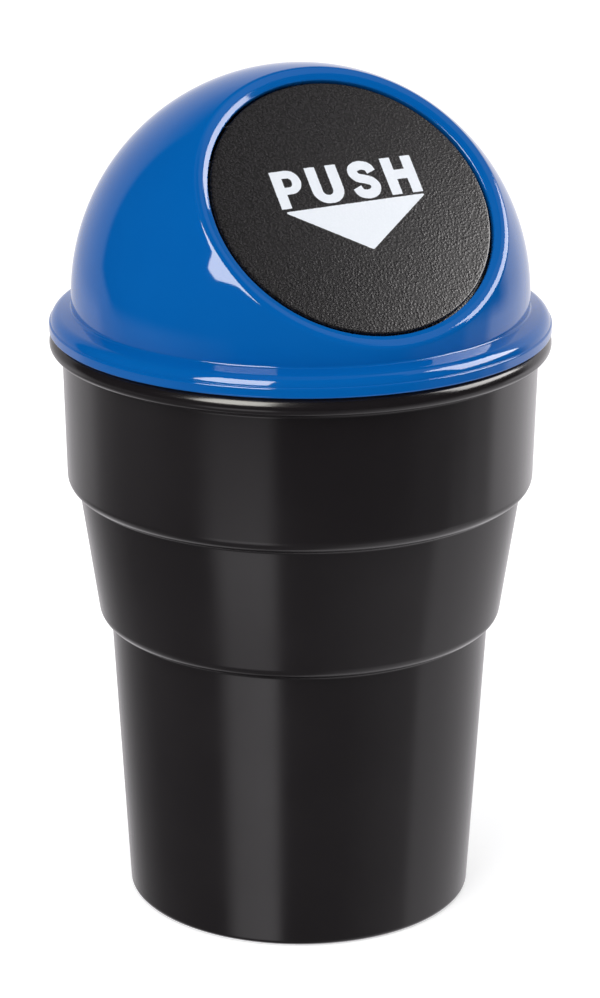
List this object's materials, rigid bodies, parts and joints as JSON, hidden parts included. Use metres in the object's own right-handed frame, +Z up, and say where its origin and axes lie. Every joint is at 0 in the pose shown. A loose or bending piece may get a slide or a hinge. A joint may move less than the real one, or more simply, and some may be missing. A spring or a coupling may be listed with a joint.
{
  "type": "mini trash bin",
  "caption": "Small round waste bin for a car cup holder: a stepped tapering cup, a domed lid and a round sprung push flap set across the dome.",
  "frame": {"origin": "middle of the base, on the surface the bin stands on", "axes": "+Z up along the cup's axis, the flap faces -Y and its hinge lies along X"},
  "size_m": [0.1, 0.1, 0.1716],
  "materials": {
    "cup_plastic": "polished black moulded plastic",
    "lid_plastic": "polished blue moulded plastic",
    "flap_plastic": "fine grained black moulded plastic",
    "pin_steel": "drawn",
    "spring_steel": "drawn wire"
  },
  "bodies": {
    "cup": {"bin_cup": "cup_plastic"},
    "lid": {"dome_lid": "lid_plastic", "hinge_pin": "pin_steel", "return_spring": "spring_steel"},
    "flap": {"push_flap": "flap_plastic"}
  },
  "joints": [
    {"name": "lid_lift", "type": "slide", "parent": "cup", "child": "lid", "axis": [0, 0, 1], "range_m": [0, 0.04]},
    {"name": "flap_hinge", "type": "hinge", "parent": "lid", "child": "flap", "pos_m": [0, -0.00451, 0.16097], "axis": [1, 0, 0], "range_deg": [0, 60], "stiffness_Nm_per_rad": 0.006, "springref_deg": -57.3, "deforming": ["return_spring"]}
  ]
}
